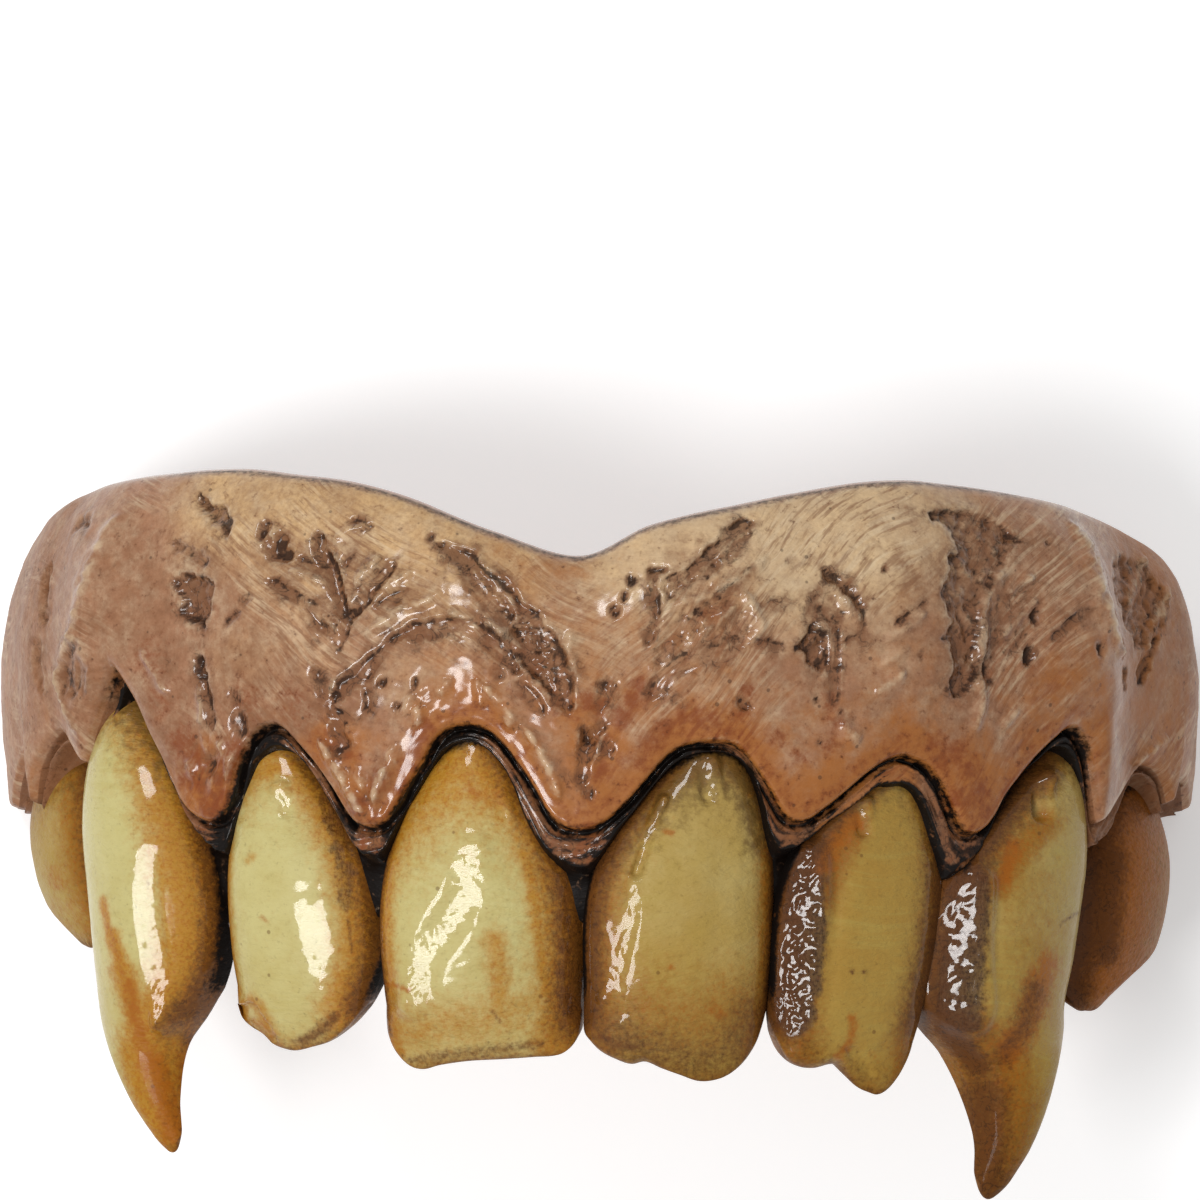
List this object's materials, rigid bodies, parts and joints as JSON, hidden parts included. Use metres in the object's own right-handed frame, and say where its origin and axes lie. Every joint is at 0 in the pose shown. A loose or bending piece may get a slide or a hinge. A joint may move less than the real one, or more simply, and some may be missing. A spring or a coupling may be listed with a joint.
{
  "type": "costume fang denture",
  "caption": "Slip-on costume denture: a scalloped upper gum with worn, uneven teeth, two of them long fangs, on a U-shaped tray that is open at the top and back.",
  "frame": {"origin": "middle of the part's box, on the plane of the two flat tray ends that it lies on", "axes": "+X to the right of the set as it is looked at, +Y from the fang tips to the top of the gum, +Z out through the front of the teeth"},
  "size_m": [0.063, 0.0343, 0.0278],
  "materials": {
    "painted_resin": "gloss"
  },
  "bodies": {
    "root": {"denture": "painted_resin"}
  },
  "joints": []
}
